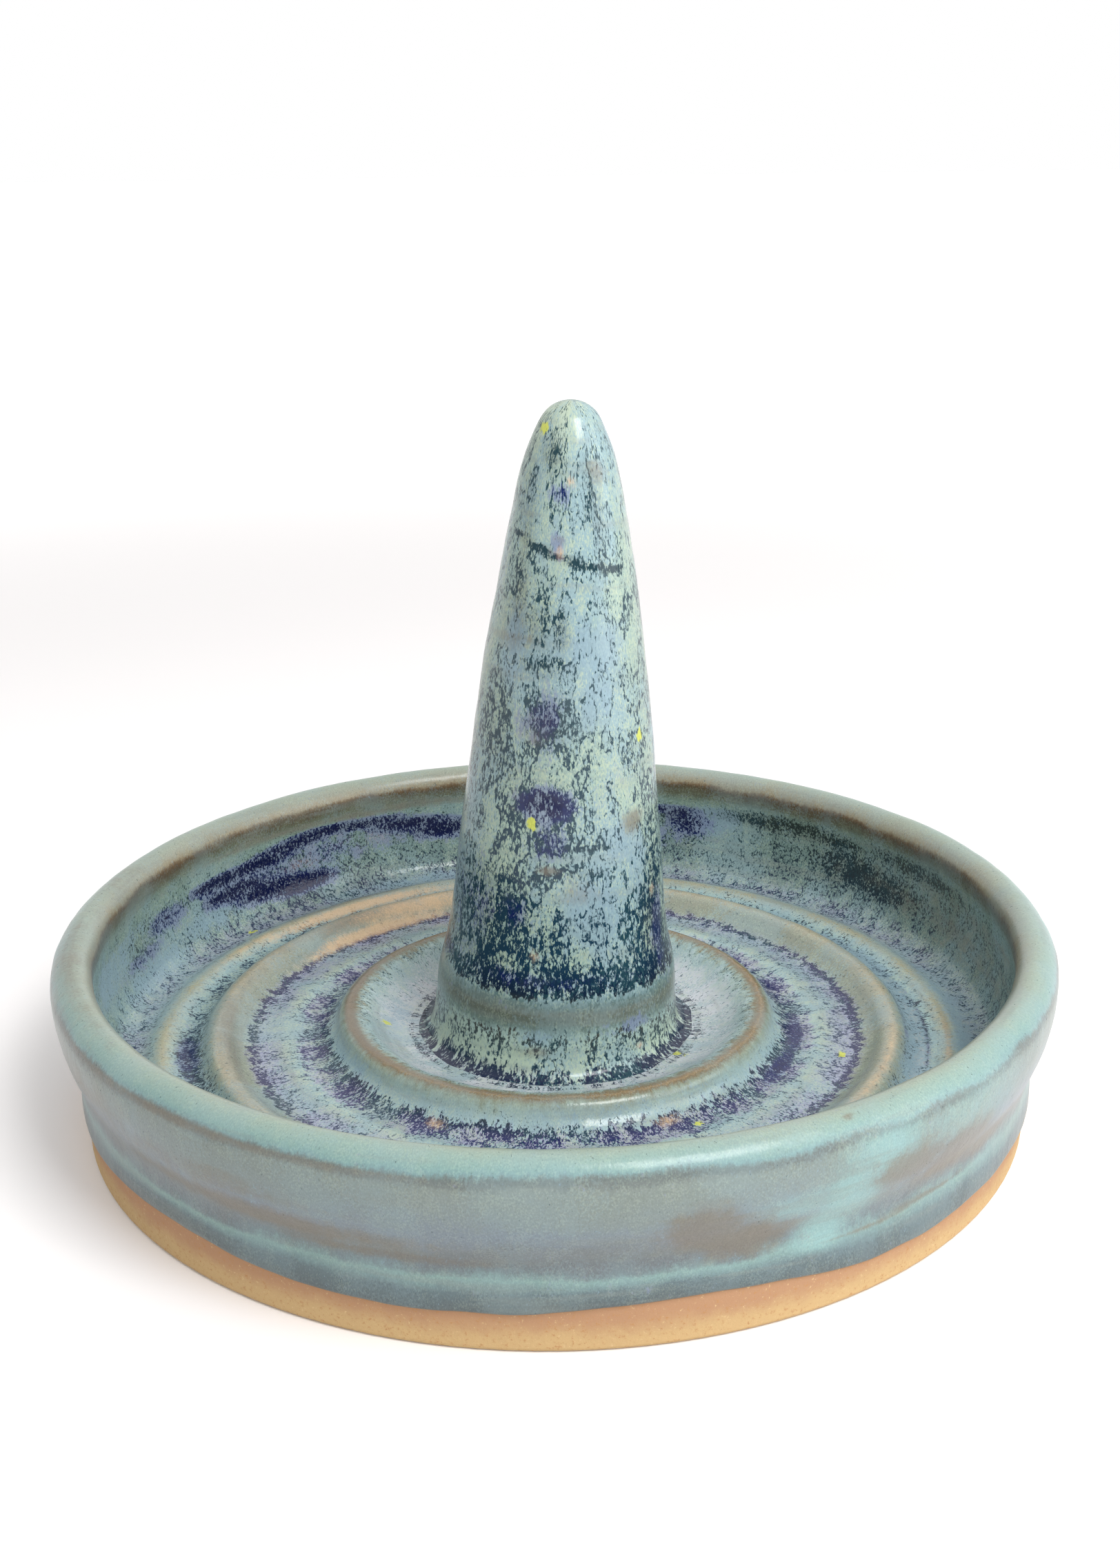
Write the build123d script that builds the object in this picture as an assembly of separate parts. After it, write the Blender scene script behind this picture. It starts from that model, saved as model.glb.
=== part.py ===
"""Ring dish in glazed stoneware, in millimetres.

A shallow round tray is thrown on the wheel with a rolled rim and raised throwing rings on its
floor. A hollow cone, thrown by itself, stands in the middle for finger rings: it is pressed
into a scored seat and a coil of soft clay is smoothed into a cove round its foot. Glaze covers
everything down to a dip line a little above the bare foot. It pools in the hollows and runs
thin over the ridges, and the rim is dipped a second time.

The frame has its origin at the middle of the resting plane, +Z up, and the front at -Y.
"""
import os

from build123d import *

# The rim of the dish, in bare clay
rim_radius = 56.95
rim_height = 21.15
rim_roll_out = 2.05
rim_roll_in = 1.75
rim_shoulder_drop = 2.45
rim_lip_drop = 1.85

# The wall between the rim and the foot
rim_flare = 2.1
wall_thickness = 3.3
belly_height = 4.6
waist_height = 8.4
waist_depth = 0.15
hollow_height = 14.4

# The foot, trimmed flat with a shallow recess under the floor
foot_rounding = 0.6
foot_taper = 0.15
foot_ring_width = 9.0
recess_depth = 1.2
recess_cove = 0.9

# The floor, with the rings that the potter's fingers left
floor_thickness = 5.5
corner_width = 4.2
corner_sink = 0.6
well_edge_rise = 3.35
channel_sink = 0.4
middle_ring_rise = 0.35
second_sink = 0.35
outer_ring_rise = 1.95
third_sink = 0.45
corner_ring_rise = 0.7

# Places of the floor's highs and lows, from the foot of the cone to the corner of the wall
well_edge_share = 0.242
channel_share = 0.38
middle_ring_share = 0.468
second_share = 0.572
outer_ring_share = 0.709
third_share = 0.817
corner_ring_share = 0.907

# How broad a curve is at a station, beside its neighbours': crests are tight, hollows are broad
tight = 1.0
plain = 1.6
broad = 2.4

# Glaze thickness: it pools in hollows and runs thin over edges
pool_coat = 0.75
floor_coat = 0.6
edge_coat = 0.3
wall_coat = 0.45
rim_coat = 0.55
rim_edge_coat = 0.45

# The two edges of the outside glaze
dip_line_height = 4.4
dip_line_tilt = -0.3
rim_coat_width = 6.4

# The hollow cone, leaning a little to the right: it swells above its foot, tapers slowly to
# a shoulder, and closes in a blunt tip
cone_height = 74.5
cone_lean = 2.0
cone_coat = 0.5
swell_radius = 13.6
swell_height = 6.1
swell_undercut = 0.35
neck_radius = 11.85
neck_height = 17.4
shoulder_radius = 5.2
shoulder_drop = 8.6
seat_depth = 0.8
bore_radius = 5.4
bore_tip_radius = 3.4
bore_depth = 46.0

# How much the cone narrows for each millimetre of height
foot_slope = 0.12
neck_slope = 0.095
shoulder_slope = 0.2
bore_slope = 0.09

# The coil of clay that joins the cone to the floor, and the hole that vents the bore
coil_width = 2.6
coil_height = 3.6
coil_top_width = 0.25
vent_radius = 1.25

# Overrun of cutting shapes past what they cut
overrun = 2.0

# Sizes that follow from the ones above
wall_radius = rim_radius - rim_flare
crest_radius = rim_radius - rim_roll_out
lip_radius = crest_radius - rim_roll_in
hollow_radius = rim_radius - wall_thickness
floor_level = recess_depth + floor_thickness
corner_radius = hollow_radius - corner_width
coil_foot_radius = swell_radius + coil_width
seat_level = floor_level - seat_depth
recess_radius = wall_radius - foot_ring_width

# Directions that a surface can face, as radius and height
UPWARDS = (0, 1)
INWARDS = (-1, 0)
OUTWARDS = (1, 0)


def tapering(slope):
    """The facing of an outer surface that narrows upwards by a slope."""
    length = (1 + slope * slope) ** 0.5
    return (1 / length, slope / length)


def place_on_floor(share):
    """Radius of a ring on the floor, between the foot of the cone and the corner."""
    return coil_foot_radius + share * (corner_radius - coil_foot_radius)


def floor_station(share, rise, coat, breadth):
    """A high or a low of the floor, in the order that every station keeps."""
    return (place_on_floor(share), floor_level + rise, UPWARDS, coat, breadth)


# Stations along the dish, from the coil over the floor and the rim and down to the foot. Each
# has its radius, height, facing, glaze thickness and breadth
crown_station = (swell_radius + coil_top_width, floor_level + coil_height, OUTWARDS, cone_coat, broad)
floor_stations = [
    floor_station(0, 0, floor_coat, broad),
    floor_station(well_edge_share, well_edge_rise, edge_coat, tight),
    floor_station(channel_share, -channel_sink, pool_coat, broad),
    floor_station(middle_ring_share, middle_ring_rise, edge_coat, plain),
    floor_station(second_share, -second_sink, pool_coat, plain),
    floor_station(outer_ring_share, outer_ring_rise, edge_coat, tight),
    floor_station(third_share, -third_sink, pool_coat, plain),
    floor_station(corner_ring_share, corner_ring_rise, edge_coat, tight),
    floor_station(1, -corner_sink, pool_coat, plain),
]
hollow_station = (hollow_radius, hollow_height, INWARDS, wall_coat, broad)
lip_station = (lip_radius, rim_height - rim_lip_drop, INWARDS, edge_coat, tight)
crest_station = (crest_radius, rim_height, UPWARDS, rim_edge_coat, tight)
widest_station = (rim_radius, rim_height - rim_shoulder_drop, OUTWARDS, rim_coat, broad)
waist_station = (wall_radius - waist_depth, waist_height, OUTWARDS, wall_coat, tight)
belly_station = (wall_radius, belly_height, OUTWARDS, wall_coat, plain)
foot_station = (wall_radius - foot_taper, foot_rounding, OUTWARDS, wall_coat, plain)

coil_stations = [crown_station, floor_stations[0]]
inside_stations = [crown_station] + floor_stations + [hollow_station, lip_station]
rim_stations = [lip_station, crest_station, widest_station, waist_station]
outside_stations = [widest_station, waist_station, belly_station, foot_station]
dish_stations = floor_stations + [hollow_station, lip_station, crest_station] + outside_stations

# Stations along the cone and its bore, from the tip down
cone_stations = [
    (0, cone_height, UPWARDS, cone_coat, tight),
    (shoulder_radius, cone_height - shoulder_drop, tapering(shoulder_slope), cone_coat, plain),
    (neck_radius, neck_height, tapering(neck_slope), cone_coat, plain),
    (swell_radius, swell_height, OUTWARDS, cone_coat, plain),
    (swell_radius - swell_undercut, 0, tapering(-foot_slope), cone_coat, plain),
]
bore_stations = [
    (0, bore_depth, UPWARDS, 0, plain),
    (bore_tip_radius, bore_depth - bore_tip_radius, OUTWARDS, 0, plain),
    (bore_radius, 0, tapering(bore_slope), 0, plain),
]


def point(radius, height):
    return Vector(radius, height)


def on_surface(station, glazed):
    """The point of a station on the bare clay, or on top of its glaze."""
    radius, height, facing, coat, _ = station
    lift = coat if glazed else 0
    return point(radius + lift * facing[0], height + lift * facing[1])


def arcs_between(start, end, glazed):
    """Two tangent arcs of surface, square to the facing of both of their stations."""
    first, last = on_surface(start, glazed), on_surface(end, glazed)
    along_first = point(start[2][1], -start[2][0])
    along_last = point(end[2][1], -end[2][0])
    breadth = end[4] / start[4]
    span = last - first
    reach = span.dot(along_first + along_last * breadth)
    bend = 2 * breadth * (1 - along_first.dot(along_last))
    arm = span.dot(span) / (reach + (reach * reach + bend * span.dot(span)) ** 0.5)
    knee = first + along_first * arm
    next_knee = last - along_last * (arm * breadth)
    meeting = knee + (next_knee - knee) * (1 / (1 + breadth))
    return [
        TangentArc(first, meeting, tangent=along_first),
        TangentArc(meeting, last, tangent=next_knee - knee),
    ]


def surface(stations, glazed):
    """The edges of the clay, or of the glaze over it, through a row of stations."""
    return [arc for a, b in zip(stations, stations[1:]) for arc in arcs_between(a, b, glazed)]


def turned(edges):
    """A closed outline turned on the wheel into a solid."""
    return revolve(Plane.XZ * make_face(edges), Axis.Z)


def coat_over(stations):
    """The ring of glaze between the clay and its own outer face."""
    ends = [
        Line(on_surface(station, False), on_surface(station, True))
        for station in (stations[0], stations[-1])
    ]
    return turned(surface(stations, False) + surface(stations, True) + ends)


def half_space(plane):
    """A block above a plane, wide enough to hold the whole dish."""
    size = 2 * (rim_radius + rim_height) + overrun
    return plane * Box(size, size, size, align=(Align.CENTER, Align.CENTER, Align.MIN))


def leaning(solid):
    """Stands a solid made about the Z axis on the seat, with the lean of the cone."""
    return Location((0, 0, seat_level)) * Rot(0, cone_lean, 0) * solid


def spire(stations, glazed=False):
    """A round closed form with a blunt tip, standing on the Z axis."""
    tip = on_surface(stations[0], glazed)
    base = on_surface(stations[-1], glazed)
    return turned(surface(stations, glazed) + [Line(base, point(0, 0)), Line(point(0, 0), tip)])


def clay_dish():
    """Floor, wall and rim in one thrown piece, bare of glaze."""
    floor_middle = Line(point(0, floor_level), on_surface(dish_stations[0], False))
    foot_top = on_surface(foot_station, False)
    foot_edge = point(foot_top.X - foot_rounding, 0)
    recess_edge = point(recess_radius, 0)
    recess_wall = point(recess_radius, recess_depth - recess_cove)
    recess_roof = point(recess_radius - recess_cove, recess_depth)
    underside = [
        TangentArc(foot_top, foot_edge, tangent=point(0, -1)),
        Line(foot_edge, recess_edge),
        Line(recess_edge, recess_wall),
        TangentArc(recess_wall, recess_roof, tangent=point(0, 1)),
        Line(recess_roof, point(0, recess_depth)),
        Line(point(0, recess_depth), point(0, floor_level)),
    ]
    return turned([floor_middle] + surface(dish_stations, False) + underside)


def clay_coil():
    """The coil smoothed into a cove between the floor and the cone, before the cone is cut out."""
    crown = on_surface(coil_stations[0], False)
    toe = on_surface(coil_stations[-1], False)
    inner = swell_radius / 2
    inside = [
        Line(toe, point(inner, toe.Y)),
        Line(point(inner, toe.Y), point(inner, crown.Y)),
        Line(point(inner, crown.Y), crown),
    ]
    return turned(surface(coil_stations, False) + inside)


def build():
    """Every piece of the ring dish, by name."""
    solid_cone = leaning(spire(cone_stations))
    glazed_cone = leaning(spire(cone_stations, glazed=True))
    bore = leaning(spire(bore_stations))
    vent = Cylinder(vent_radius, floor_level, align=(Align.CENTER, Align.CENTER, Align.MIN))

    dish_body = clay_dish() - solid_cone - vent
    ring_cone = solid_cone - bore
    joint_coil = clay_coil() - solid_cone
    cone_glaze = glazed_cone - solid_cone - clay_coil() - clay_dish()
    inside_glaze = coat_over(inside_stations) - glazed_cone

    rim_edge = Plane.XY.offset(rim_height - rim_coat_width)
    rim_glaze = coat_over(rim_stations) & half_space(rim_edge)
    dip_line = Plane.XY.offset(dip_line_height).rotated((0, -dip_line_tilt, 0))
    outside_glaze = (coat_over(outside_stations) & half_space(dip_line)) - half_space(rim_edge)

    return {
        "dish_body": dish_body,
        "ring_cone": ring_cone,
        "joint_coil": joint_coil,
        "inside_glaze": inside_glaze,
        "rim_glaze": rim_glaze,
        "outside_glaze": outside_glaze,
        "cone_glaze": cone_glaze,
    }


os.makedirs("parts", exist_ok=True)
for name, piece in build().items():
    export_step(piece, f"parts/{name}.step")
    print(name, len(piece.solids()), round(piece.volume, 1))
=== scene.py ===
# Ring dish in glazed stoneware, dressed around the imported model. The scene is in metres. The
# maker's sizes are millimetres, and mm turns them into metres where they reach a mesh.
import cmath
import math

import bpy
from mathutils import Matrix, Vector, noise


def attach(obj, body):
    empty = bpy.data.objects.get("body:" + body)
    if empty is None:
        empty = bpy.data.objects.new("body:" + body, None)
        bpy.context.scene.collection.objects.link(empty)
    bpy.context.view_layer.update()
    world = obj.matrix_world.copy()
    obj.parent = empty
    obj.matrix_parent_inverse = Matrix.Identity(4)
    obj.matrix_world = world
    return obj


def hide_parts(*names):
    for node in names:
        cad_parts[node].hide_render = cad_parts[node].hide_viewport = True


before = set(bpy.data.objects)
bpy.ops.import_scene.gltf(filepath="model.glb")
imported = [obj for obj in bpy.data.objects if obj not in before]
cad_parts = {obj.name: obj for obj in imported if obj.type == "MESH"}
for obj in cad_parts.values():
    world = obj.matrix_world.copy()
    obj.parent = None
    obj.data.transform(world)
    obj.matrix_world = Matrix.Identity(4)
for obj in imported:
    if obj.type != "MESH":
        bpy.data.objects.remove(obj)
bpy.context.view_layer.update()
bpy.ops.object.select_all(action="DESELECT")
mm = 0.001

# Bare stoneware: the thrown dish, the cone and the coil that joins them are one buff clay,
# thrown, trimmed and fired. Only the foot shows below the glaze, flashed orange along the dip
# line and golden towards the table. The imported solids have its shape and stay.
dip_height = 4.4
dip_tilt = math.radians(-0.3)
flash_start, flash_depth, flash_waver = 1.6, 3.0, 2.4
# The colour sockets of a mix node
MIX_FIRST, MIX_SECOND, MIX_RESULT = 6, 7, 2


def glaze_chip(red, green, blue, share=1.0):
    """A colour as read off a test tile, from 0 to 255, made linear for a shader by the sRGB
    curve; share is its fourth value."""
    shades = []
    for part in (red, green, blue):
        level = part / 255
        shades.append(level / 12.92 if level <= 0.04045 else ((level + 0.055) / 1.055) ** 2.4)
    return (*shades, share)


def add_node(tree, kind, inputs, **settings):
    """A shader node with its settings made and its inputs filled or wired."""
    made = tree.nodes.new(kind)
    for name, value in settings.items():
        setattr(made, name, value)
    for name, value in inputs.items():
        if isinstance(value, bpy.types.NodeSocket):
            tree.links.new(value, made.inputs[name])
        else:
            made.inputs[name].default_value = value
    return made


def work_out(tree, operation, first, second):
    return add_node(tree, "ShaderNodeMath", {0: first, 1: second}, operation=operation).outputs[0]


def less(tree, value, taken):
    return work_out(tree, "SUBTRACT", value, taken)


def scaled_onto(tree, value, size, onto):
    """A value taken size times and added onto another."""
    inputs = {0: value, 1: size, 2: onto}
    return add_node(tree, "ShaderNodeMath", inputs, operation="MULTIPLY_ADD").outputs[0]


def stretched(tree, place, scale):
    """The place a pattern is read at, with its three axes scaled."""
    return add_node(tree, "ShaderNodeMapping", {"Vector": place, "Scale": scale}).outputs[0]


def mottle(tree, place, scale, detail=2.0, roughness=0.5):
    """Cloudy noise with a given number of patches to the unit of place."""
    inputs = {"Vector": place, "Scale": scale, "Detail": detail, "Roughness": roughness}
    return add_node(tree, "ShaderNodeTexNoise", inputs).outputs["Fac"]


def ease(tree, value, low, high):
    """0 at low, 1 at high, smooth between them and level beyond; low may be the larger."""
    inputs = {"Value": value, "From Min": low, "From Max": high}
    return add_node(tree, "ShaderNodeMapRange", inputs, interpolation_type="SMOOTHSTEP").outputs[0]


def blend_of(tree, share, first, second, kind="MIX"):
    inputs = {0: share, MIX_FIRST: first, MIX_SECOND: second}
    settings = {"data_type": "RGBA", "blend_type": kind}
    return add_node(tree, "ShaderNodeMix", inputs, **settings).outputs[MIX_RESULT]


def new_material(name, **finish):
    """A material whose shader has its plain values on its own sockets."""
    made = bpy.data.materials.new(name)
    made.use_nodes = True
    shader = made.node_tree.nodes["Principled BSDF"]
    for socket, value in finish.items():
        shader.inputs[socket.replace("_", " ")].default_value = value
    return made, made.node_tree, shader


orange_clay = glaze_chip(180, 138, 104)
golden_clay = glaze_chip(200, 168, 120)
dark_grit = glaze_chip(182, 134, 86)
pale_grit = glaze_chip(212, 184, 138)
clay, tree, shader = new_material("buff_stoneware", Roughness=0.82)
clay_place = add_node(tree, "ShaderNodeTexCoord", {}).outputs["Object"]
clay_mm = stretched(tree, clay_place, (1 / mm,) * 3)
clay_axes = add_node(tree, "ShaderNodeSeparateXYZ", {"Vector": clay_mm})
dip_here = scaled_onto(tree, clay_axes.outputs["X"], math.tan(dip_tilt), dip_height)
below_dip = less(tree, dip_here, clay_axes.outputs["Z"])
clay_clouds = mottle(tree, clay_mm, scale=0.35, detail=4.0, roughness=0.6)
clay_grit = mottle(tree, clay_mm, scale=2.4, detail=4.0, roughness=0.75)
flash_edge = scaled_onto(tree, clay_clouds, flash_waver, below_dip)
golden = ease(tree, flash_edge, flash_start, flash_start + flash_depth)
clay_tone = blend_of(tree, golden, orange_clay, golden_clay)
clay_tone = blend_of(tree, ease(tree, clay_grit, 0.54, 0.7), clay_tone, dark_grit)
clay_tone = blend_of(tree, ease(tree, clay_grit, 0.4, 0.3), clay_tone, pale_grit)
tree.links.new(clay_tone, shader.inputs["Base Color"])
grit_relief = {"Height": clay_grit, "Strength": 0.6, "Distance": 0.1 * mm}
tree.links.new(add_node(tree, "ShaderNodeBump", grit_relief).outputs[0], shader.inputs["Normal"])
for node_name in ("dish_body", "ring_cone", "joint_coil"):
    clay_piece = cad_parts[node_name]
    clay_piece.data.materials.clear()
    clay_piece.data.materials.append(clay)

# Glaze on the dish: one coat over the floor, the wall, the rim and the outside, poured and
# dipped, then fired glossy. It is thick in the hollows and thin over the rings, and ends in a
# rolled edge above the foot. It is turned from the same outline as the clay.
UPWARDS, DOWNWARDS, INWARDS, OUTWARDS = 1j, -1j, -1, 1
tight, plain, broad = 1.0, 1.6, 2.4
rim_radius, rim_height = 56.95, 21.15
wall_radius = 54.85
floor_level = 6.7
toe_radius, corner_radius = 16.2, 49.45
coat_turns = 320
coat_spacing, lining_spacing = 0.5, 1.6
nearly_straight = 1e-6
tuck_width, tuck_drop, tuck_band = 0.7, 0.2, -0.1
edge_roll, roll_steps = 0.45, 4


def floor_station(share, rise, coat, breadth):
    """A high or a low of the floor, a share of the way from the cone's foot to the corner."""
    radius = toe_radius + share * (corner_radius - toe_radius)
    return (complex(radius, floor_level + rise), UPWARDS, coat, breadth)


# A station is its place, which way the surface faces there, how thick the coat is on it, and
# how broad the bends are that meet there
dish_stations = [
    floor_station(0, 0, 0.6, broad),
    floor_station(0.242, 3.35, 0.3, tight),
    floor_station(0.38, -0.4, 0.75, broad),
    floor_station(0.468, 0.35, 0.3, plain),
    floor_station(0.572, -0.35, 0.75, plain),
    floor_station(0.709, 1.95, 0.3, tight),
    floor_station(0.817, -0.45, 0.75, plain),
    floor_station(0.907, 0.7, 0.3, tight),
    floor_station(1, -0.6, 0.75, plain),
    (53.65 + 14.4j, INWARDS, 0.45, broad),
    (53.15 + 19.3j, INWARDS, 0.3, tight),
    (54.9 + rim_height * 1j, UPWARDS, 0.45, tight),
    (rim_radius + 18.7j, OUTWARDS, 0.55, broad),
    (54.7 + 8.4j, OUTWARDS, 0.45, tight),
    (wall_radius + (dip_height + edge_roll) * 1j, OUTWARDS, 0.4, plain),
]


def dot(first, second):
    return (first * second.conjugate()).real


def surface_point(station, on_glaze):
    """Where a station lies on the glaze, or on the clay under it where on_glaze is 0."""
    place, facing, coat, _ = station
    return place + on_glaze * coat * facing


def bend_to(start, heading, end, spacing):
    """Points along the round bend that leaves start on a heading and arrives at end."""
    chord = end - start
    turn = cmath.phase(chord / heading)
    count = math.ceil(abs(chord) / spacing)
    points = []
    for step in range(1, count + 1):
        share = step / count
        reach = math.sin(turn * share) / math.sin(turn) if abs(turn) > nearly_straight else share
        points.append(start + heading * cmath.exp(1j * turn * share) * abs(chord) * reach)
    return points


def follow(stations, on_glaze, spacing):
    """Outline through a row of stations, as (point, station number) pairs. It leaves a station
    at right angles to its facing, and two round bends that meet smoothly lead to the next."""
    quarter_turn = -1j
    outline = [(surface_point(stations[0], on_glaze), 0.0)]
    for number, (start, end) in enumerate(zip(stations, stations[1:])):
        first, last = surface_point(start, on_glaze), surface_point(end, on_glaze)
        _, facing, _, start_breadth = start
        _, next_facing, _, end_breadth = end
        heading, next_heading = quarter_turn * facing, quarter_turn * next_facing
        breadth = end_breadth / start_breadth
        span = last - first
        reach = dot(span, heading + next_heading * breadth)
        swing = 2 * breadth * (1 - dot(heading, next_heading))
        arm = abs(span) ** 2 / (reach + math.sqrt(reach**2 + swing * abs(span) ** 2))
        knee = first + heading * arm
        next_knee = last - next_heading * arm * breadth
        meeting = knee + (next_knee - knee) / (1 + breadth)
        run = (next_knee - knee) / abs(next_knee - knee)
        points = bend_to(first, heading, meeting, spacing) + bend_to(meeting, run, last, spacing)
        outline += [(point, number + (k + 1) / len(points)) for k, point in enumerate(points)]
    return outline


def throw(name, outline, turns):
    """Draws an outline of (point, band) pairs and spins it on the wheel. Every point keeps its
    band and the length of outline up to it, in millimetres."""
    bpy.ops.mesh.primitive_plane_add(size=mm)
    piece = bpy.context.object
    piece.name = name
    bpy.ops.object.mode_set(mode="EDIT")
    bpy.ops.mesh.select_all(action="SELECT")
    bpy.ops.mesh.merge(type="CENTER")
    here = 0
    for number, (point, _) in enumerate(outline):
        step = ((point - here).real * mm, 0, (point - here).imag * mm)
        if number == 0:
            bpy.ops.transform.translate(value=step)
        else:
            bpy.ops.mesh.extrude_vertices_move(TRANSFORM_OT_translate={"value": step})
        here = point
    bpy.ops.object.mode_set(mode="OBJECT")
    lengths = [0.0]
    for (last, _), (point, _) in zip(outline, outline[1:]):
        lengths.append(lengths[-1] + abs(point - last))
    piece.data.attributes.new("band", "FLOAT", "POINT")
    piece.data.attributes.new("run", "FLOAT", "POINT")
    piece.data.attributes["band"].data.foreach_set("value", [band for _, band in outline])
    piece.data.attributes["run"].data.foreach_set("value", lengths)
    bpy.ops.object.mode_set(mode="EDIT")
    bpy.ops.mesh.select_all(action="SELECT")
    bpy.ops.mesh.spin(steps=turns, angle=math.tau, center=(0, 0, 0), axis=(0, 0, 1))
    bpy.ops.mesh.select_all(action="SELECT")
    bpy.ops.mesh.remove_doubles(threshold=0.01 * mm)
    bpy.ops.mesh.normals_make_consistent(inside=False)
    bpy.ops.object.mode_set(mode="OBJECT")
    bpy.ops.object.shade_smooth_by_angle(angle=math.radians(50))
    return piece


def mark_flow(piece, start_breadth, spread, stretch):
    """The way the glaze ran: noise read at this place is drawn out down the slopes by stretch,
    and its streaks keep their width as the circle grows from start_breadth by spread."""
    runs = [entry.value for entry in piece.data.attributes["run"].data]
    flow = piece.data.attributes.new("flow", "FLOAT_VECTOR", "POINT")
    for vertex, run in zip(piece.data.vertices, runs):
        around = Vector((vertex.co.x, vertex.co.y, 0))
        if around.length > 0:
            around.normalize()
        around *= start_breadth + spread * run
        flow.data[vertex.index].vector = (around.x, around.y, run / stretch)


# Past so many of its half lengths, a dab is too faint to count
dab_reach = 2.2


def dab(piece, name, spots):
    """Dabs of oxide, thin glaze, painted shade and painted light as (angle, place along the band,
    half width in mm, half length in bands, strength), kept as an attribute of the surface."""
    bands = [entry.value for entry in piece.data.attributes["band"].data]
    layer = piece.data.attributes.new(name, "FLOAT", "POINT")
    for vertex, band in zip(piece.data.vertices, bands):
        radius = math.hypot(vertex.co.x, vertex.co.y) / mm
        angle = math.atan2(vertex.co.y, vertex.co.x)
        most = 0.0
        for degrees, middle, width, length, strength in spots:
            up = (band - middle) / length
            if abs(up) > dab_reach:
                continue
            turn = math.remainder(angle - math.radians(degrees), math.tau)
            across = turn * radius / width
            most = max(most, strength * math.exp(-0.5 * (up * up + across * across)))
        layer.data[vertex.index].value = most


coat_outline = follow(dish_stations, on_glaze=1, spacing=coat_spacing)
tuck = coat_outline[0][0] - complex(tuck_width, tuck_drop)
coat_outline.insert(0, (tuck, tuck_band))
lining = follow(dish_stations, on_glaze=0, spacing=lining_spacing)
lining_end = complex(lining[-1][0].real, dip_height)
roll = bend_to(coat_outline[-1][0], DOWNWARDS, lining_end, edge_roll / roll_steps)
last_band = len(dish_stations) - 1.0
coat_outline += [(point, last_band) for point in roll]
coat_outline += [(point, band) for point, band in reversed(lining[:-1])]
coat_outline.append(coat_outline[0])
dish_coat = throw("dish_glaze_coat", coat_outline, coat_turns)
mark_flow(dish_coat, start_breadth=30, spread=0.6, stretch=2.0)

# The dip line slants and wavers, as a hand-held dip does. A swell is its angle and its spread,
# in degrees, and its rise in millimetres. Above the waist the glaze keeps its shape.
outer_wall, waist_height = 54, 8.4
hand_shake, shakes_around = 0.2, 9.0
dip_swells = [
    (-132, 9, 0.7),
    (-112, 12, -0.3),
    (-75, 10, 1.0),
    (-54, 9, -0.5),
    (30, 20, 0.6),
    (120, 25, -0.5),
]
for vertex in dish_coat.data.vertices:
    height = vertex.co.z / mm
    if math.hypot(vertex.co.x, vertex.co.y) / mm > outer_wall and height < waist_height:
        share = min(1, (waist_height - height) / (waist_height - dip_height - edge_roll))
        share = share * share * (3 - 2 * share)
        around = Vector((vertex.co.x, vertex.co.y, 0)) / (wall_radius * mm)
        waver = hand_shake * noise.noise(around * shakes_around)
        for degrees, breadth, rise in dip_swells:
            turn = math.remainder(math.atan2(around.y, around.x) - math.radians(degrees), math.tau)
            waver += rise * math.exp(-0.5 * (turn / math.radians(breadth)) ** 2)
        vertex.co.z += share * (math.tan(dip_tilt) * vertex.co.x + waver * mm)


def soften(piece, name, size, strength):
    """Moves the surface in and out a little, as a hand-thrown and glazed one is."""
    clouds = bpy.data.textures.new(name, "CLOUDS")
    clouds.noise_scale = size * mm
    clouds.noise_depth = 1
    modifier = piece.modifiers.new(name, "DISPLACE")
    modifier.texture = clouds
    modifier.texture_coords = "LOCAL"
    modifier.strength = strength * mm
    modifier.mid_level = 0.5
    bpy.context.view_layer.objects.active = piece
    bpy.ops.object.modifier_apply(modifier=name)


soften(dish_coat, "throwing", size=22, strength=0.26)
soften(dish_coat, "running", size=4, strength=0.12)

# A dark streak ran round the wall at the back left: its two edges, as angles and bands
upper_edge = [(146, 8.96), (139, 8.99), (133, 9.16), (127, 9.32), (120, 9.26), (113, 9.05), (106, 8.88)]
lower_edge = [(144, 8.72), (138, 8.56), (132, 8.48)]
streak_pools = [(degrees, band, 4.0, 0.1, 2.2) for degrees, band in upper_edge]
streak_pools += [(degrees, band, 3.8, 0.1, 2.0) for degrees, band in lower_edge]
bared_edges = [(degrees, band, 4.0, 0.07, 1.7) for degrees, band in upper_edge + lower_edge]
dab(dish_coat, "pool", streak_pools + [
    (136, 8.75, 6.0, 0.18, 0.6),
    (126, 8.85, 6.0, 0.22, 0.6),
    (114, 8.85, 7.0, 0.16, 0.45),
    (159, 8.85, 3.0, 0.12, 1.1),
    (167, 8.6, 5.0, 0.1, 0.6),
    (72, 9.24, 4.0, 0.1, 1.4),
    (68.5, 8.95, 2.4, 0.16, 1.3),
    (73, 8.7, 4.0, 0.2, 0.5),
    (-9, 1.98, 4.4, 0.14, 0.55),
    (-24, 1.9, 3.4, 0.12, 0.9),
    (-170, 6.0, 5.0, 0.3, 0.7),
    (-6, 6.1, 9.0, 0.06, 0.6),
    (-8, 5.45, 8.0, 0.05, 0.6),
])
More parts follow.
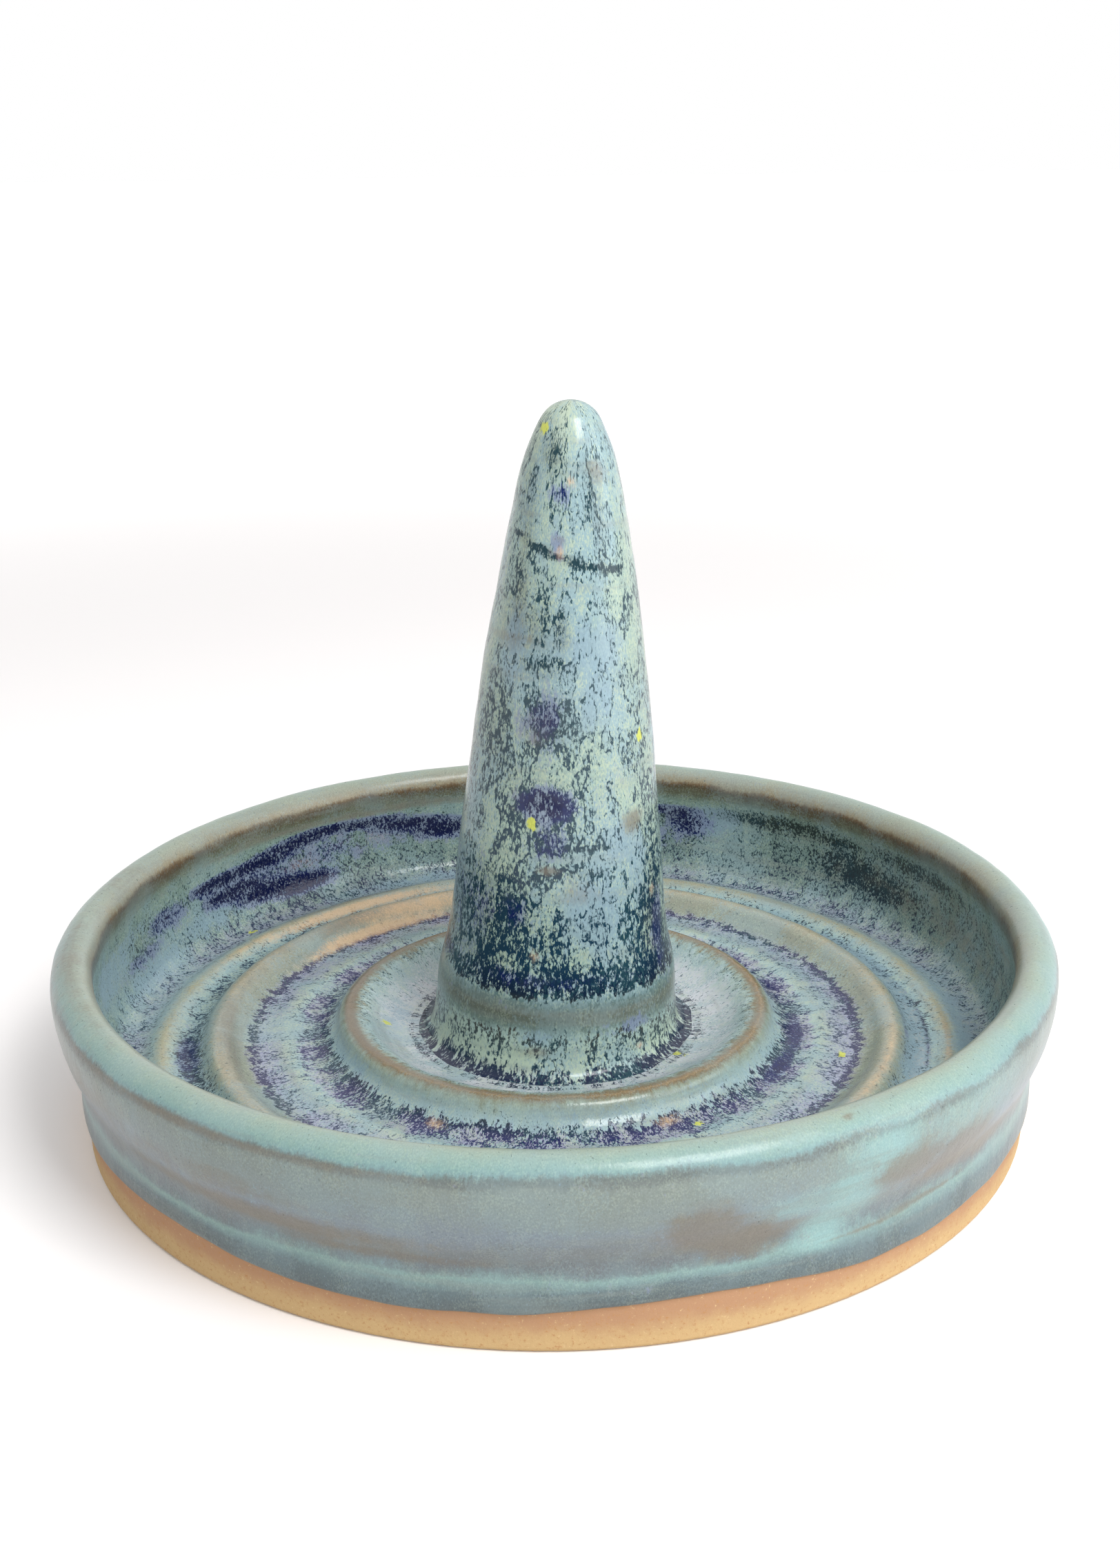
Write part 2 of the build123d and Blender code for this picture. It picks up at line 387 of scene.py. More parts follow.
dab(dish_coat, "sky_and_light", [
    (178, 8.9, 7.0, 0.3, 0.8),
    (166, 8.35, 7.0, 0.2, 0.8),
    (150, 8.5, 6.0, 0.16, 0.7),
    (110, 8.05, 8.0, 0.12, 0.8),
    (64.5, 9.15, 2.6, 0.24, 1.3),
    # The next three make the right of the floor paler, partly painted light where the right wall shades
    # it
    (-6, 5.8, 14.0, 0.3, 1.2),
    (22, 5.9, 14.0, 0.25, 1.0),
    (-4, 7.6, 16.0, 0.4, 0.75),
    (-12, 3.0, 10.0, 0.3, 0.4),
    (171, 9.0, 6.0, 0.2, 0.6),
    (178, 0.25, 5.0, 0.2, 0.6),
    (-150, 1.45, 9.0, 0.12, 0.5),
    (-75, 1.4, 9.0, 0.12, 0.4),
    (-63, 12.9, 2.4, 0.3, 1.0),
    (-60.5, 12.5, 3.4, 0.25, 1.0),
    (-66, 12.45, 4.0, 0.12, 0.7),
    (-57, 12.1, 4.5, 0.3, 0.8),
    (-45, 12.1, 8.0, 0.3, 0.5),
    (40, 12.5, 6.0, 0.4, 0.8),
    (150, 12.5, 5.0, 0.4, 0.8),
])
dab(dish_coat, "rust_and_shade", [
    (124, 7.2, 9.0, 0.2, 0.8),
    (132, 4.8, 8.0, 0.2, 0.8),
    (-76, 12.5, 3.2, 0.24, 1.1),
    (-72, 12.74, 4.0, 0.2, 1.1),
    (-53, 12.42, 4.4, 0.2, 1.0),
    (-45, 12.56, 5.0, 0.22, 1.1),
    (-38, 12.76, 4.0, 0.16, 0.9),
    (-57, 13.14, 5.0, 0.06, 0.8),
    (-48, 13.02, 6.0, 0.06, 0.8),
    (-60.6, 11.27, 0.7, 0.05, 1.3),
    (-172, 4.85, 14.0, 0.3, 0.7),
    # These three darken the left of the first ring's brown crest, partly painted shade on its side away
    # from the window
    (-155, 1.02, 9.0, 0.06, 1.2),
    (180, 1.02, 9.0, 0.07, 1.3),
    (-118, 1.0, 8.0, 0.05, 0.7),
    (162, 4.9, 12.0, 0.25, 0.5),
    (-165, 11.1, 16.0, 0.5, 0.6),
    (168, 11.0, 14.0, 0.5, 0.5),
    (-135, 11.82, 20.0, 0.08, 0.9),
    (-112, 11.82, 12.0, 0.07, 0.7),
    (-152, 12.3, 14.0, 0.25, 0.7),
    (-128, 12.4, 12.0, 0.14, 0.6),
    # Painted shade under the overhanging lip at the back left
    (124, 9.6, 26.0, 0.12, 0.7),
    (15, 8.9, 20.0, 0.5, 0.55),
    (-22, 12.5, 5.0, 0.2, 0.5),
    (-8, 6.9, 10.0, 0.16, 0.6),
    (8, 6.5, 8.0, 0.16, 0.5),
    (-122, 12.66, 16.0, 0.12, 0.9),
    (-106, 12.84, 9.0, 0.06, 0.8),
    (60, 12.7, 9.0, 0.14, 0.8),
    (120, 12.8, 11.0, 0.12, 0.8),
    (175, 12.6, 12.0, 0.14, 0.7),
])
dab(dish_coat, "thin_and_shade", bared_edges + [
    (71, 9.1, 3.2, 0.16, 1.2),
    (57, 9.3, 4.5, 0.15, 2.6),
    (50, 9.32, 5.0, 0.15, 2.5),
    (44, 9.24, 4.0, 0.14, 2.4),
    (40, 8.78, 4.6, 0.2, 2.8),
    (34, 8.72, 4.4, 0.16, 2.6),
    (27, 9.36, 7.0, 0.18, 2.2),
    # These two darken the wall at the right, partly painted shade where it faces away from the window
    (45, 8.9, 24.0, 0.5, 0.35),
    (10, 9.0, 24.0, 0.5, 0.2),
    (90, 8.8, 14.0, 0.3, 0.3),
    (128, 8.8, 12.0, 0.2, 0.25),
    # Painted shade along the foot of the wall, below the streak
    (124, 8.2, 14.0, 0.1, 0.6),
    (165, 8.7, 4.0, 0.2, 0.5),
    (-170, 6.0, 6.0, 0.3, 1.0),
    (172, 6.0, 8.0, 0.3, 0.6),
    (-150, 1.9, 12.0, 0.2, 0.4),
    (-9, 1.98, 5.0, 0.14, 0.6),
    (-6, 6.1, 10.0, 0.05, 1.6),
    (4, 5.45, 10.0, 0.04, 1.4),
    (20, 6.05, 12.0, 0.05, 1.2),
])
dab(dish_coat, "tan", [
    (132, 8.76, 5.0, 0.1, 0.32),
    (120, 8.9, 8.0, 0.12, 0.28),
    (131, 4.3, 9.0, 0.18, 1.2),
    (118, 4.7, 9.0, 0.3, 0.9),
    (128, 6.5, 12.0, 0.24, 1.1),
    (112, 6.6, 9.0, 0.16, 0.5),
    (150, 6.8, 8.0, 0.16, 0.6),
    (-64, 1.75, 1.4, 0.1, 0.7),
    (-118, 1.8, 1.2, 0.1, 0.7),
    (-22, 5.0, 12.0, 0.1, 0.6),
    (-10, 6.9, 6.0, 0.12, 0.5),
    (-4, 5.9, 12.0, 0.2, 0.3),
])
dab(dish_coat, "sulphur", [
    (-15.4, 3.7, 0.7, 0.13, 1.0),
    (-58, 2.05, 0.6, 0.1, 1.0),
    (-174.7, 0.45, 0.5, 0.08, 0.9),
    (144.7, 8.0, 0.6, 0.08, 0.9),
    (-32, 0.1, 0.5, 0.08, 0.9),
])


cloud_middle = 0.5


def offset_of(tree, cloud, size, onto):
    """Adds a cloudy value, counted from its middle and taken size times, onto another."""
    return scaled_onto(tree, less(tree, cloud, cloud_middle), size, onto)


def times(tree, first, second):
    return work_out(tree, "MULTIPLY", first, second)


def plus(tree, first, second):
    return work_out(tree, "ADD", first, second)


# The crystals that float in the glaze, the dark glass under them, and the oxides; the sky crystal also
# serves for painted light, and the rust tone for painted shade
blue_crystal = glaze_chip(142, 168, 174)
cream_crystal = glaze_chip(170, 184, 160)
grey_crystal = glaze_chip(130, 138, 132)
sky_crystal_and_light = glaze_chip(136, 161, 174)
lilac_crystal = glaze_chip(120, 132, 166)
mint_crystal = glaze_chip(140, 178, 176)
teal_glass = glaze_chip(36, 68, 78)
milky_glass = glaze_chip(100, 124, 130)
navy_glass = glaze_chip(6, 24, 86)
deepest_glass = glaze_chip(2, 14, 66)
rust_and_shade_tone = glaze_chip(118, 108, 94)
tan_tone = glaze_chip(212, 180, 142)
sulphur_tone = glaze_chip(196, 202, 92)
least_cover = 0.22


def glaze_group():
    """Reactive glaze: pale crystals that float over a dark, glassy one and part into flecks.
    Cover is how much is pale, Lively how much the tones change from place to place, and the
    last six say where oxides pooled or where the crystals stayed thin. The sky layer also
    carries painted light, and the rust and thin layers painted shade."""
    group = bpy.data.node_groups.new("reactive_glaze", "ShaderNodeTree")
    wanted = [("Flow", "Vector"), ("Pale", "Color"), ("Dark", "Color")]
    amounts = ("Cover", "Lively", "Pool", "Sky_and_light", "Rust_and_shade", "Tan", "Sulphur", "Thin_and_shade")
    wanted += [(name, "Float") for name in amounts]
    for name, kind in wanted:
        group.interface.new_socket(name, in_out="INPUT", socket_type="NodeSocket" + kind)
    for name, kind in (("Color", "Color"), ("Roughness", "Float"), ("Height", "Float")):
        group.interface.new_socket(name, in_out="OUTPUT", socket_type="NodeSocket" + kind)
    given = group.nodes.new("NodeGroupInput").outputs
    result = group.nodes.new("NodeGroupOutput").inputs
    flow = given["Flow"]
    lively = given["Lively"]

    # Noise of several sizes, and rings that run round the piece
    patches = mottle(group, flow, scale=0.13)
    clumps = mottle(group, flow, scale=0.42, detail=3.0, roughness=0.6)
    flecks = mottle(group, flow, scale=2.8, detail=3.0, roughness=0.65)
    specks = mottle(group, flow, scale=5.5, roughness=0.6)
    tints = mottle(group, flow, scale=3.4, roughness=0.6)
    rings_place = stretched(group, flow, (0.05, 0.05, 1.2))
    rings = mottle(group, rings_place, scale=1.0, detail=3.0, roughness=0.6)

    # Ragged edges for the dark pools and for the sky-blue clouds, which also carry painted light
    pool_edge = offset_of(group, flecks, 0.9, offset_of(group, clumps, 1.3, given["Pool"]))
    pool_edge = offset_of(group, tints, 0.6, pool_edge)
    pooled = ease(group, pool_edge, 0.25, 0.6)
    deep = ease(group, pool_edge, 0.5, 1.0)
    sky_and_light_edge = offset_of(group, tints, -1.6, offset_of(group, clumps, -1.2, given["Sky_and_light"]))
    skyed_and_lit = ease(group, sky_and_light_edge, 0.25, 0.75)

    # How thickly the crystals float, and the flecks that this parts them into
    cover = offset_of(group, clumps, lively, given["Cover"])
    cover = offset_of(group, patches, times(group, lively, 0.5), cover)
    cover = offset_of(group, rings, times(group, lively, 0.5), cover)
    from_crease = work_out(group, "ABSOLUTE", less(group, clumps, 0.47), 0)
    creased = times(group, ease(group, from_crease, 0.04, 0.0), lively)
    cover = less(group, cover, times(group, creased, 0.38))
    cover = less(group, cover, times(group, pooled, 0.12))
    cover = less(group, cover, times(group, deep, 0.08))
    cover = less(group, cover, times(group, given["Thin_and_shade"], 0.2))
    cover = plus(group, cover, times(group, skyed_and_lit, 0.16))
    cover = work_out(group, "MAXIMUM", cover, least_cover)
    floating = offset_of(group, cover, 0.5, offset_of(group, specks, 0.5, flecks))
    floating = ease(group, floating, 0.42, 0.59)

    # The tone of the crystals, from place to place
    bluish = offset_of(group, tints, 1.3, offset_of(group, patches, 1.8, 0.5))
    bluish = times(group, ease(group, bluish, 0.4, 0.62), lively)
    pale = blend_of(group, bluish, given["Pale"], blue_crystal)
    creamy = offset_of(group, specks, 1.4, offset_of(group, clumps, 1.1, 0.42))
    creamy = times(group, ease(group, creamy, 0.5, 0.62), lively)
    pale = blend_of(group, times(group, creamy, 0.7), pale, cream_crystal)
    greyer = times(group, ease(group, rings, 0.5, 0.7), 0.35)
    pale = blend_of(group, greyer, pale, grey_crystal)
    pale = blend_of(group, times(group, skyed_and_lit, 0.8), pale, sky_crystal_and_light)
    pale = blend_of(group, times(group, pooled, 0.7), pale, lilac_crystal)

    # The tone of the glass under them
    teal = offset_of(group, tints, 1.2, offset_of(group, patches, 1.6, 0.44))
    teal = times(group, ease(group, teal, 0.45, 0.6), 0.8)
    filmed = times(group, ease(group, cover, 0.5, 1.0), 0.6)
    dark = blend_of(group, teal, given["Dark"], teal_glass)
    dark = blend_of(group, filmed, dark, milky_glass)
    dark = blend_of(group, times(group, pooled, 0.9), dark, navy_glass)
    dark = blend_of(group, deep, dark, deepest_glass)
    tone = blend_of(group, floating, dark, pale)

    # Oxides over both, the rust and the tan kept out of the deepest pools, and a fine grain that
    # is darker where the coat is thin. The rust and the thin layer also carry painted shade
    rusty_and_shaded = offset_of(group, rings, 0.6, offset_of(group, clumps, 0.7, given["Rust_and_shade"]))
    rusty_and_shaded = ease(group, offset_of(group, tints, 0.5, rusty_and_shaded), 0.2, 0.9)
    not_deep = less(group, 1.0, deep)
    rusty_and_shaded = times(group, rusty_and_shaded, not_deep)
    tone = blend_of(group, times(group, rusty_and_shaded, 0.7), tone, rust_and_shade_tone)
    tanned = offset_of(group, clumps, 0.8, offset_of(group, tints, 1.0, given["Tan"]))
    tanned = ease(group, tanned, 0.2, 1.0)
    tanned = times(group, tanned, not_deep)
    tone = blend_of(group, times(group, tanned, 0.8), tone, tan_tone)
    yellow = offset_of(group, flecks, 1.6, given["Sulphur"])
    tone = blend_of(group, ease(group, yellow, 0.5, 0.7), tone, sulphur_tone)
    bare_and_shaded = ease(group, given["Thin_and_shade"], 0.0, 1.4)
    grained = scaled_onto(group, bare_and_shaded, -0.25, scaled_onto(group, specks, 0.5, 0.74))
    tone = blend_of(group, 1.0, tone, grained, "MULTIPLY")
    relief = scaled_onto(group, specks, 0.1, scaled_onto(group, floating, 0.35, clumps))
    group.links.new(tone, result["Color"])
    group.links.new(scaled_onto(group, floating, 0.08, 0.1), result["Roughness"])
    group.links.new(relief, result["Height"])
    return group


reactive_glaze = glaze_group()


def reading(tree, name, output="Fac"):
    """What a surface attribute says at a point."""
    return add_node(tree, "ShaderNodeAttribute", {}, attribute_name=name).outputs[output]


def banding(tree, place, stops, full):
    """Colours along the outline, as (place, colour) pairs, with full as the last place."""
    ramp = add_node(tree, "ShaderNodeValToRGB", {0: work_out(tree, "DIVIDE", place, full)})
    elements = ramp.color_ramp.elements
    elements[0].position, elements[0].color = stops[0][0] / full, stops[0][1]
    elements[1].position, elements[1].color = stops[-1][0] / full, stops[-1][1]
    for where, colour in stops[1:-1]:
        elements.new(where / full).color = colour
    return ramp.outputs["Color"], ramp.outputs["Alpha"]


def fired_glaze(name, pale_stops, dark_stops, full, jag, relief, outer_stops=None):
    """A fired glaze. The fourth value of a pale stop is the cover of pale flecks, and that of a
    dark stop is how ragged and lively it is there. Jag is how far, in bands, a ragged edge
    strays. Outer stops take over where they start."""
    made, tree, shader = new_material(name, Specular_IOR_Level=0.44)
    flow = reading(tree, "flow", "Vector")
    band = reading(tree, "band")
    dark, raggedness = banding(tree, band, dark_stops, full)
    shift = less(tree, mottle(tree, flow, scale=0.9, detail=3.0, roughness=0.6), cloud_middle)
    shift = times(tree, shift, times(tree, raggedness, jag))
    pale, cover = banding(tree, plus(tree, band, shift), pale_stops, full)
    sky_and_light = reading(tree, "sky_and_light")
    if outer_stops:
        slow = stretched(tree, flow, (0.1, 0.1, 0.45))
        waver = offset_of(tree, mottle(tree, slow, scale=1.0), 0.5, band)
        combed = stretched(tree, flow, (1.0, 1.0, 0.15))
        hairs = mottle(tree, combed, scale=1.6, detail=3.0, roughness=0.65)
        outer, _ = banding(tree, offset_of(tree, hairs, 0.3, waver), outer_stops, full)
        outside = ease(tree, band, outer_stops[0][0], outer_stops[1][0])
        mint = times(tree, ease(tree, offset_of(tree, hairs, 0.5, sky_and_light), 0.1, 0.9), outside)
        pale = blend_of(tree, outside, pale, outer)
        pale = blend_of(tree, times(tree, mint, 0.85), pale, mint_crystal)
        sky_and_light = times(tree, sky_and_light, less(tree, 1.0, outside))
        cover = plus(tree, cover, times(tree, outside, 0.18))
    inputs = {"Flow": flow, "Pale": pale, "Dark": dark, "Cover": cover, "Lively": raggedness, "Sky_and_light": sky_and_light}
    for layer in ("Pool", "Rust_and_shade", "Tan", "Sulphur", "Thin_and_shade"):
        inputs[layer] = reading(tree, layer.lower())
    body = tree.nodes.new("ShaderNodeGroup")
    body.node_tree = reactive_glaze
    for socket, value in inputs.items():
        tree.links.new(value, body.inputs[socket])
    tree.links.new(body.outputs["Color"], shader.inputs["Base Color"])
    gloss = body.outputs["Roughness"]
    if outer_stops:
        gloss = plus(tree, gloss, times(tree, outside, 0.1))
    tree.links.new(gloss, shader.inputs["Roughness"])
    raised = {"Height": body.outputs["Height"], "Strength": relief, "Distance": 0.12 * mm}
    tree.links.new(add_node(tree, "ShaderNodeBump", raised).outputs[0], shader.inputs["Normal"])
    return made


dish_pale = [
    (0, glaze_chip(180, 186, 194, 0.6)),
    (0.12, glaze_chip(192, 196, 202, 0.96)),
    (0.4, glaze_chip(190, 196, 202, 1.0)),
    (0.72, glaze_chip(168, 190, 190, 0.92)),
    (0.84, glaze_chip(148, 168, 160, 0.74)),
    (0.92, glaze_chip(122, 118, 94, 0.95)),
    (0.97, glaze_chip(108, 92, 66, 1.0)),
    (1.03, glaze_chip(144, 122, 88, 1.0)),
    (1.09, glaze_chip(114, 98, 70, 1.0)),
    (1.2, glaze_chip(136, 146, 130, 1.0)),
    (1.36, glaze_chip(156, 176, 170, 1.0)),
    (1.6, glaze_chip(154, 180, 186, 0.92)),
    (1.68, glaze_chip(140, 154, 176, 0.42)),
    (1.85, glaze_chip(154, 154, 180, 0.52)),
    (2.4, glaze_chip(156, 158, 184, 0.66)),
    (2.7, glaze_chip(156, 180, 180, 0.85)),
    (3, glaze_chip(160, 175, 165, 0.9)),
    (3.4, glaze_chip(152, 162, 178, 0.78)),
    (3.9, glaze_chip(152, 156, 182, 0.72)),
    (4.15, glaze_chip(144, 144, 174, 0.3)),
    (4.3, glaze_chip(134, 142, 128, 0.95)),
    (4.8, glaze_chip(152, 154, 138, 1.0)),
    (5.02, glaze_chip(168, 160, 136, 1.0)),
    (5.25, glaze_chip(144, 152, 138, 0.95)),
    (5.7, glaze_chip(140, 164, 170, 0.6)),
    (6.3, glaze_chip(150, 178, 180, 0.82)),
    (6.9, glaze_chip(164, 160, 134, 1.0)),
    (7.4, glaze_chip(146, 168, 168, 0.85)),
    (8, glaze_chip(150, 158, 174, 0.68)),
    # Darker at the foot of the wall, partly painted shade
    (8.3, glaze_chip(112, 136, 134, 0.76)),
    (9.3, glaze_chip(124, 148, 138, 0.82)),
    (last_band, glaze_chip(118, 130, 112, 0.95)),
]
dish_dark = [
    (0, glaze_chip(20, 28, 60, 0.8)),
    (0.5, glaze_chip(60, 90, 104, 0.6)),
    (0.84, glaze_chip(34, 66, 80, 0.5)),
    (0.95, glaze_chip(90, 76, 50, 0.15)),
    (1.3, glaze_chip(80, 90, 80, 0.25)),
    (1.66, glaze_chip(20, 40, 66, 0.8)),
    (1.9, glaze_chip(36, 38, 88, 0.85)),
    (2.5, glaze_chip(46, 48, 96, 0.85)),
    (3, glaze_chip(60, 80, 100, 0.8)),
    (4.15, glaze_chip(40, 42, 84, 0.55)),
    (4.4, glaze_chip(80, 84, 76, 0.45)),
    (5.2, glaze_chip(80, 80, 64, 0.4)),
    (6, glaze_chip(26, 52, 80, 0.85)),
    (7, glaze_chip(90, 84, 64, 0.4)),
    (8, glaze_chip(44, 54, 86, 0.6)),
    (8.6, glaze_chip(32, 52, 64, 0.6)),
    # Olive under the lip, partly painted shade under its overhang, then brown where the glaze breaks
    (9.5, glaze_chip(44, 58, 52, 0.45)),
    (9.9, glaze_chip(58, 48, 34, 0.2)),
    (10.6, glaze_chip(90, 100, 90, 0.22)),
    (last_band, glaze_chip(70, 84, 84, 0.14)),
]
# The lip, the rim and the outside: olive under the lip, partly painted shade under its overhang, a
# brown line where the glaze breaks over the lip, mint over the roll, a broken brown line under it,
# then grey, blue-grey and teal rings to the dip line
outside_pale = [
    (9.45, glaze_chip(108, 122, 106)),
    (9.8, glaze_chip(92, 92, 72)),
    (9.98, glaze_chip(84, 70, 50)),
    (10.1, glaze_chip(108, 86, 62)),
    (10.22, glaze_chip(146, 136, 112)),
    (10.5, glaze_chip(151, 153, 138)),
    (11.0, glaze_chip(148, 162, 148)),
    (11.3, glaze_chip(140, 163, 154)),
    (11.55, glaze_chip(129, 159, 154)),
    (11.64, glaze_chip(124, 154, 154)),
    (11.74, glaze_chip(108, 118, 116)),
    (11.84, glaze_chip(104, 112, 110)),
    (12.0, glaze_chip(126, 136, 130)),
    (12.3, glaze_chip(126, 138, 138)),
    (12.5, glaze_chip(122, 134, 144)),
    (12.7, glaze_chip(114, 122, 124)),
    (12.83, glaze_chip(108, 114, 118)),
    (12.95, glaze_chip(108, 121, 124)),
    (13.1, glaze_chip(128, 156, 152)),
    (13.3, glaze_chip(112, 136, 136)),
    (13.5, glaze_chip(94, 110, 114)),
    (last_band, glaze_chip(86, 96, 98)),
]
dish_glaze = fired_glaze(
    "dish_reactive_glaze", dish_pale, dish_dark, last_band, jag=1.3, relief=0.8, outer_stops=outside_pale
)
dish_coat.data.materials.append(dish_glaze)
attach(dish_coat, "root")
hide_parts("inside_glaze", "rim_glaze", "outside_glaze")

# Glaze on the cone: the same glaze, brushed over the tip and down over the smoothed coil. It
# slid down in short runs, and gathered in a dark band where the cone swells above its foot.
# It leans with the cone, and its toe lies over the coat of the floor.
seat_level = 5.9
cone_lean = math.radians(2.0)
cone_height = 74.5
cone_turns = 256
cone_coat_depth = 0.5


def tapering(slope):
    """The facing of an outer surface that narrows upwards by a slope."""
    return complex(1, slope) / abs(complex(1, slope))


cone_stations = [
    ((seat_level + cone_height) * 1j, UPWARDS, cone_coat_depth, tight),
    (5.2 + (seat_level + cone_height - 8.6) * 1j, tapering(0.2), cone_coat_depth, plain),
    (11.85 + (seat_level + 17.4) * 1j, tapering(0.095), cone_coat_depth, plain),
    (13.6 + (seat_level + 6.1) * 1j, OUTWARDS, cone_coat_depth, plain),
    (13.75 + 10.6j, tapering(0.06).conjugate(), cone_coat_depth, broad),
    (toe_radius + floor_level * 1j, UPWARDS, 0.6, broad),
]
cone_outline = follow(cone_stations, on_glaze=1, spacing=coat_spacing)
toe = cone_outline[-1][0] + complex(tuck_width, -tuck_drop)
cone_outline = [(point, point.imag) for point, _ in cone_outline] + [(toe, toe.imag)]
cone_coat_piece = throw("cone_glaze_coat", cone_outline, cone_turns)
mark_flow(cone_coat_piece, start_breadth=8.5, spread=0.06, stretch=2.1)
shell = cone_coat_piece.modifiers.new("coat", "SOLIDIFY")
shell.thickness = cone_coat_depth * mm
shell.offset = -1
bpy.context.view_layer.objects.active = cone_coat_piece
bpy.ops.object.modifier_apply(modifier="coat")

# The lean comes in over the coil, in small steps
lean_levels = [8.0, 8.7, 9.4, 10.1, 10.8]
for level in lean_levels:
    turn = Matrix.Rotation(cone_lean / len(lean_levels), 4, "Y")
    seat = Vector((0, 0, seat_level * mm))
    for vertex in cone_coat_piece.data.vertices:
        if vertex.co.z > level * mm:
            vertex.co = turn @ (vertex.co - seat) + seat
soften(cone_coat_piece, "throwing_cone", size=14, strength=0.3)
soften(cone_coat_piece, "running_cone", size=3, strength=0.12)

# A crease left by the throwing finger, that the dark glaze ran into: it falls from left to
# right, wavers from step to step, and has two fainter, level ones below it
crease_start, crease_end, crease_step = -124, -30, 5
crease_low, crease_fall, crease_waver = 63.6, 3.4, 0.12
faint_crease, fainter_crease = 30.9, 33.7
crease = []
for degrees in range(crease_start, crease_end, crease_step):
    still_to_fall = ((crease_end - degrees) / (crease_end - crease_start)) ** 1.3
    height = crease_low + crease_fall * still_to_fall + crease_waver * math.sin(degrees)
    crease.append((degrees, height, 0.6, 0.17, 3.6))
crease += [(degrees, faint_crease, 0.9, 0.16, 1.9) for degrees in range(-94, -62, crease_step)]
crease += [(degrees, fainter_crease, 0.9, 0.14, 1.2) for degrees in range(-82, -60, crease_step)]
dab(cone_coat_piece, "pool", [
    (-93, 47.8, 2.2, 2.6, 0.6),
    (-94, 38.4, 2.3, 1.3, 1.4),
    (-91, 34.0, 2.2, 2.4, 0.55),
    (-77, 71.6, 1.0, 1.2, 0.75),
    (-82, 66.6, 0.5, 1.0, 0.7),
    (-113, 26.4, 1.6, 2.4, 0.55),
    (-24, 22.5, 1.4, 4.5, 0.55),
    (-85, 18.4, 12.0, 0.9, 0.4),
    (-150, 25, 5.0, 5.0, 0.4),
    (-52, 12.7, 2.6, 0.8, 0.5),
    (60, 18.6, 14.0, 1.0, 0.6),
    (150, 18.8, 12.0, 1.0, 0.6),
    (70, 44, 3.0, 3.0, 0.8),
    (130, 60, 2.0, 2.4, 0.7),
    (20, 64, 2.0, 2.4, 0.6),
])
dab(cone_coat_piece, "thin_and_shade", crease + [
    (-93, 47.8, 2.2, 2.6, 1.4),
    (-94, 39.3, 2.2, 1.2, 0.9),
    (-91, 34.0, 2.0, 2.2, 0.5),
    (-114, 70, 0.9, 5.0, 1.0),
    (-118, 60, 0.9, 4.5, 1.3),
    (-104, 58, 2.2, 2.4, 1.1),
    (-96, 53.5, 2.6, 1.3, 1.2),
    (-128, 46, 2.0, 6.0, 0.8),
    # Partly painted shade: the cone's lower left faces away from the window
    (-132, 25, 4.0, 5.0, 0.7),
    (-28, 25, 2.4, 5.0, 1.0),
    (-46, 70, 0.7, 4.0, 1.2),
    (-84, 75.6, 0.9, 1.2, 1.5),
    (-82, 57.5, 0.7, 1.6, 1.6),
    (120, 30, 6.0, 8.0, 0.6),
    (40, 58, 3.0, 8.0, 0.6),
])
dab(cone_coat_piece, "sky_and_light", [
    (-57, 55.5, 3.0, 3.0, 0.9),
    (-60, 50.0, 1.8, 3.5, 0.7),
    (-84, 66.5, 1.6, 2.4, 0.6),
    (-119, 56, 1.3, 4.0, 0.8),
    (-48, 34, 2.4, 2.2, 0.8),
    (-40, 31, 1.6, 3.6, 0.7),
    (-70, 26, 3.0, 4.0, 1.0),
    (-100, 11.9, 2.0, 0.9, 0.6),
    (100, 52, 3.0, 5.0, 0.9),
    (10, 45, 2.0, 5.0, 0.8),
    (160, 36, 3.0, 4.0, 0.8),
    (50, 30, 3.0, 4.0, 0.8),
])
dab(cone_coat_piece, "rust_and_shade", [
    (-41, 35.8, 1.4, 1.2, 0.9),
    (-93, 31.2, 1.2, 0.5, 1.0),
    (-39, 74, 1.2, 1.1, 0.7),
    (-76, 29.4, 2.2, 1.8, 0.5),
    (-98, 10.4, 1.8, 0.8, 0.6),
    (-80, 66.9, 0.5, 0.5, 0.7),
    (-100, 46, 1.6, 4.0, 0.4),
    (-124, 58, 3.0, 9.0, 0.4),
    (-112, 40, 2.4, 4.0, 0.35),
    (-35, 24, 2.0, 3.0, 0.35),
])
dab(cone_coat_piece, "tan", [
    (-80, 65.8, 0.4, 0.5, 0.8),
    (-66, 73.0, 0.4, 0.5, 0.7),
    (-100, 21.5, 0.5, 0.6, 0.7),
    (-28, 27.0, 0.5, 0.7, 0.6),
    (-48, 9.6, 0.5, 0.5, 0.7),
])
dab(cone_coat_piece, "sulphur", [
    (-99, 78.1, 0.5, 0.5, 1.0),
    (-30, 45.2, 0.5, 0.7, 1.0),
    (-102, 36.3, 0.55, 0.65, 1.0),
    (80, 60, 0.6, 0.7, 1.0),
])
tip_level = 81.0
